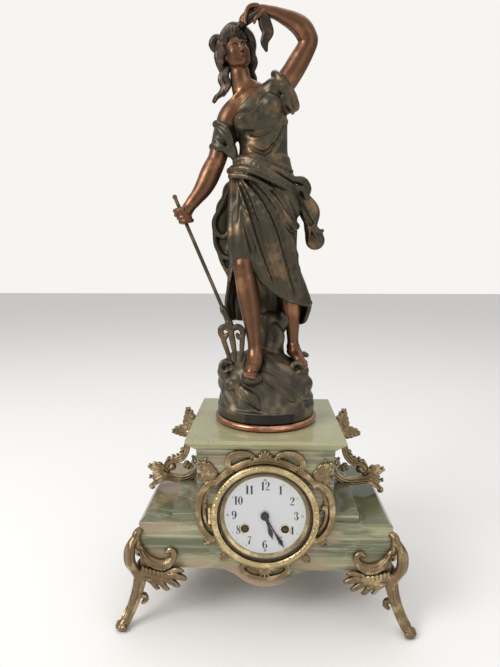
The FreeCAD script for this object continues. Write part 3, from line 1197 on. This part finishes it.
def flat_branch(rows, scale, origin, half_depth):
    """A branch in an x-z plane from (x, z, half width) shares of a scale."""
    places = [origin + Vector(x * scale, 0, z * scale) for x, z, half in rows]
    widths = [half * scale for x, z, half in rows]
    depths = [min(half_depth, width * DEPTH_LIMIT_SHARE) for width in widths]
    return branch(places, widths, depths, FORWARD)


def joined(shapes):
    return shapes[0].fuse(shapes[1:]).removeSplitter()


def mirrored(shape, normal):
    return shape.mirror(Vector(0, 0, 0), normal)


# Side handles
handle_height = value("handle_height")
block_top = value("block_lift + block_height")
handle_origin = Vector(value("neck_width") / 2, 0, block_top)
handle = joined([flat_branch(rows, handle_height, handle_origin, value("handle_depth") / 2)
                 for rows in HANDLE_SHARES])
SCREW_PLACES = [handle_origin + Vector(x * handle_height, 0, z * handle_height)
                for x, z in HANDLE_SCREW_SHARES]
screw_radius = value("handle_screw_radius")


def side_screw(place):
    """A screw that goes in along -x towards the neck, its head on the casting."""
    head = value("screw_head_height")
    length = value("handle_screw_length")
    shank = Part.makeCylinder(screw_radius, length, place - Vector(length, 0, 0), Vector(1, 0, 0))
    return shank.fuse(Part.makeCylinder(value("screw_head_radius"), head, place, Vector(1, 0, 0)))


screws = [side_screw(place) for place in SCREW_PLACES]
for screw in screws:
    handle = handle.cut(screw)
formed("right_handle", handle)
formed("left_handle", mirrored(handle, Vector(1, 0, 0)))
formed("handle_screws", Part.makeCompound(
    screws + [mirrored(screw, Vector(1, 0, 0)) for screw in screws]))

# Feet
foot_height = value("foot_height")
lift = value("block_lift")
DIAGONAL_SHARE = math.sqrt(0.5)
DIAGONAL_AXIS = Vector(-DIAGONAL_SHARE, DIAGONAL_SHARE, 0)


def foot_branch(rows, depth_axis):
    """A branch of the foot from (x, y, up, half width) shares."""
    places = [Vector(x * foot_height, y * foot_height, up * foot_height) for x, y, up, half in rows]
    widths = [half * foot_height for x, y, up, half in rows]
    return branch(places, widths, widths, depth_axis)


foot_parts = [foot_branch([(out * DIAGONAL_SHARE, out * DIAGONAL_SHARE, up, half)
                           for out, up, half in rows], DIAGONAL_AXIS)
              for rows in FOOT_DIAGONAL_SHARES]
for rows in FOOT_SIDE_SHARES:
    foot_parts.append(foot_branch(rows, Vector(0, 1, 0)))
    foot_parts.append(foot_branch([(y, x, up, half) for x, y, up, half in rows],
                                  Vector(1, 0, 0)))
sole_out, sole_radius, sole_thick = (share * foot_height for share in SOLE_SHARES)
sole_place = Vector(sole_out * DIAGONAL_SHARE, sole_out * DIAGONAL_SHARE, 0)
foot_parts.append(Part.makeCylinder(sole_radius, sole_thick, sole_place))
plate_thick = value("foot_plate_thick")
inset = value("foot_screw_inset")
foot_parts.append(Part.makeCylinder(value("foot_plate_radius"), plate_thick,
                                    Vector(-inset, -inset, lift - plate_thick)))
foot = joined(foot_parts)
screw_radius = value("foot_screw_radius")
screw_low = lift - plate_thick
foot_screw = Part.makeCylinder(screw_radius, value("foot_screw_length"),
                               Vector(-inset, -inset, screw_low)).fuse(
    Part.makeCylinder(value("screw_head_radius"), value("screw_head_height"),
                      Vector(-inset, -inset, screw_low - value("screw_head_height"))))
foot = foot.cut(foot_screw).cut(Part.makeCylinder(
    value("screw_head_radius"), foot_height, Vector(-inset, -inset, screw_low - foot_height)))
corner = Vector(value("block_width") / 2, value("block_depth") / 2, 0)
foot.translate(corner)
foot_screw.translate(corner)
LEFTWARDS = Vector(1, 0, 0)
foot_screws = []
for label, flips in (("rear_right_foot", ()), ("rear_left_foot", (LEFTWARDS,)),
                     ("front_right_foot", (FORWARD,)), ("front_left_foot", (LEFTWARDS, FORWARD))):
    shape = foot
    screw = foot_screw
    for flip in flips:
        shape = mirrored(shape, flip)
        screw = mirrored(screw, flip)
    formed(label, shape)
    foot_screws.append(screw)
formed("foot_screws", Part.makeCompound(foot_screws))

# Dial surround, flat on the stone and open for the bezel frame and its hinge
surround_half = value("surround_width") / 2
surround_depth = value("surround_depth")
front = value(FRONT)
surround_origin = Vector(0, front - surround_depth / 2 + value("surround_back"), dial_height)


def surround_branch(rows):
    return flat_branch(rows, surround_half, surround_origin, surround_depth / 2)


surround_parts = [
    surround_branch(list(rows) + [(-x, z, half) for x, z, half in rows[-2::-1]])
    for rows in SURROUND_BAND_SHARES]
surround_parts += [surround_branch(rows) for rows in SURROUND_SHELL_SHARES]
for rows in SURROUND_BRANCH_SHARES:
    bar = surround_branch(rows)
    surround_parts += [bar, mirrored(bar, LEFTWARDS)]
surround = joined(surround_parts)
reach = 2 * surround_half
surround = surround.cut(block_between(Vector(-reach, front, 0), Vector(reach, 0, reach * 2)))
surround = surround.cut(post(CENTRE, value("frame_radius") + face_gap, front - reach, reach))
hinge_half = value("knuckle_length") * HINGE_HALF_SHARE + value("knuckle_radius")
hinge_x = value(HINGE_X)
knuckle_room = value("knuckle_radius + face_gap")
surround = surround.cut(block_between(
    Vector(hinge_x - knuckle_room, front - reach, dial_height - hinge_half),
    Vector(0, front, dial_height + hinge_half)))
formed("dial_surround", surround)

# Figure: ring, rock base, nameplate, body, head, arms, legs, trident and bolt
case_top = value(CASE_TOP)
figure_height = value("figure_height")
UPWARD = Vector(0, 0, 1)
figure_foot = Vector(0, 0, case_top)


def figure_place(x, y, up):
    return figure_foot + Vector(x, y, up) * figure_height


def figure_ovals(rows):
    """A solid lofted through level ovals."""
    return Part.makeLoft([
        oval(figure_place(x, y, up), Vector(1, 0, 0), Vector(0, 1, 0),
             half_width * figure_height, half_depth * figure_height)
        for x, y, up, half_width, half_depth in rows], True, True)


def limb(rows):
    """A rounded limb from (x, y, up, half width) shares."""
    places = [figure_place(x, y, up) for x, y, up, half in rows]
    widths = [half * figure_height for x, y, up, half in rows]
    return branch(places, widths, widths, FORWARD)


plinth_ring = new_body("plinth_ring")
turned(plinth_ring, [
    ("bolt_radius + running_gap", CASE_TOP), ("plinth_radius - plinth_height / 2", CASE_TOP),
    ("plinth_radius - plinth_height / 2", CASE_TOP + " + plinth_height"),
    ("bolt_radius + running_gap", CASE_TOP + " + plinth_height")],
    role="XZ_Plane", arcs={1: (f"plinth_height / 2 * {RING_BULGE_SHARE}", 1)})

drum_low = value(CASE_TOP + " + plinth_height")
drum = Part.makeCylinder(value("drum_base_radius"), value("drum_base_height"),
                         Vector(0, 0, drum_low))
rocks = joined([drum, figure_ovals(ROCK_SHARES), limb(STUMP_SHARES)])
bolt_depth = value("bolt_into_figure")
rocks = rocks.cut(Part.makeCylinder(value("bolt_radius + running_gap"), bolt_depth,
                                    Vector(0, 0, drum_low)))
trident_ends = [figure_place(*row) for row in TRIDENT_SHARES]
shaft_vector = trident_ends[1] - trident_ends[0]
fork_vector = trident_ends[2] - trident_ends[1]
shaft = Part.makeCylinder(value("shaft_radius"), shaft_vector.Length, trident_ends[0], shaft_vector)
socket = Part.makeCylinder(value("socket_radius"), fork_vector.Length + value("socket_radius"),
                           trident_ends[1] - fork_vector / 2, fork_vector)
trident = joined([shaft, socket] + [limb(rows) for rows in FORK_SHARES])

front_leg = limb(FRONT_LEG_SHARES)
rear_leg = limb(REAR_LEG_SHARES)
body_shape = figure_ovals(BODY_SHARES)
for rows in SHAWL_SHARES:
    body_shape = body_shape.fuse(limb(rows))
head = joined([limb(rows) for rows in HEAD_SHARES])
raised_arm = joined([limb(rows) for rows in RAISED_ARM_SHARES])
lowered_arm = limb(LOWERED_ARM_SHARES)
trident = trident.cut(rocks)
body_shape = body_shape.cut([head, raised_arm, lowered_arm, trident, rocks])
head = head.cut([raised_arm, lowered_arm])
lowered_arm = lowered_arm.cut(trident)
front_leg = front_leg.cut([body_shape, rocks])
rear_leg = rear_leg.cut([body_shape, rocks])
for label, shape in (("rock_base", rocks), ("draped_body", body_shape), ("head", head),
                     ("raised_arm", raised_arm), ("lowered_arm", lowered_arm),
                     ("front_leg", front_leg), ("rear_leg", rear_leg), ("trident", trident)):
    formed(label, max(shape.Solids, key=lambda solid: solid.Volume))

plate_arc = value("nameplate_arc")
plate_inner = value("drum_base_radius")
plate_outer = plate_inner + value("nameplate_thick")
plate_height = value("nameplate_height")
plate_low = drum_low + (value("drum_base_height") - plate_height) / 2
start_angle = -90 + value("nameplate_turn") - plate_arc / 2


def arc_plate(radius):
    shape = Part.makeCylinder(radius, plate_height, Vector(0, 0, plate_low), UPWARD, plate_arc)
    return shape.rotate(Vector(0, 0, 0), UPWARD, start_angle)


nameplate = arc_plate(plate_outer)
for share in NAMEPLATE_PIN_SHARES:
    turn = math.radians(start_angle + plate_arc * share)
    direction = Vector(math.cos(turn), math.sin(turn), 0)
    place = Vector(0, 0, plate_low + plate_height / 2) + direction * plate_outer
    pin = Part.makeCylinder(value("plate_pin_radius"), value("plate_pin_height + nameplate_thick"),
                            place - direction * value("nameplate_thick"), direction)
    nameplate = nameplate.fuse(pin)
formed("nameplate", nameplate.cut(Part.makeCylinder(
    plate_inner + running, plate_height, Vector(0, 0, plate_low))))

bore_top = dial_height + value("bore_radius")
head_low = bore_top - value("bolt_head_height")
formed("figure_bolt", Part.makeCylinder(
    value("bolt_radius"), drum_low + bolt_depth - running - head_low, Vector(0, 0, head_low)).fuse(
    Part.makeCylinder(value("bolt_head_radius"), value("bolt_head_height"),
                      Vector(0, 0, head_low - value("bolt_head_height") / 2))).removeSplitter())

# Check every object and write the sub-parts
doc.recompute()
for thing in doc.Objects:
    faults = [state for state in thing.State if state in ("Invalid", "Error")]
    if faults:
        raise RuntimeError(f"{thing.Label} ({thing.TypeId}) is {faults}")
os.makedirs("parts", exist_ok=True)
for thing in NODES:
    shape = thing.Shape
    if shape.isNull() or not shape.isValid() or not shape.Solids:
        raise RuntimeError(f"{thing.Label} has no valid solid")
for thing in NODES:
    thing.Shape.exportStep(f"parts/{thing.Label}.step")
print(len(NODES), "sub-parts written")
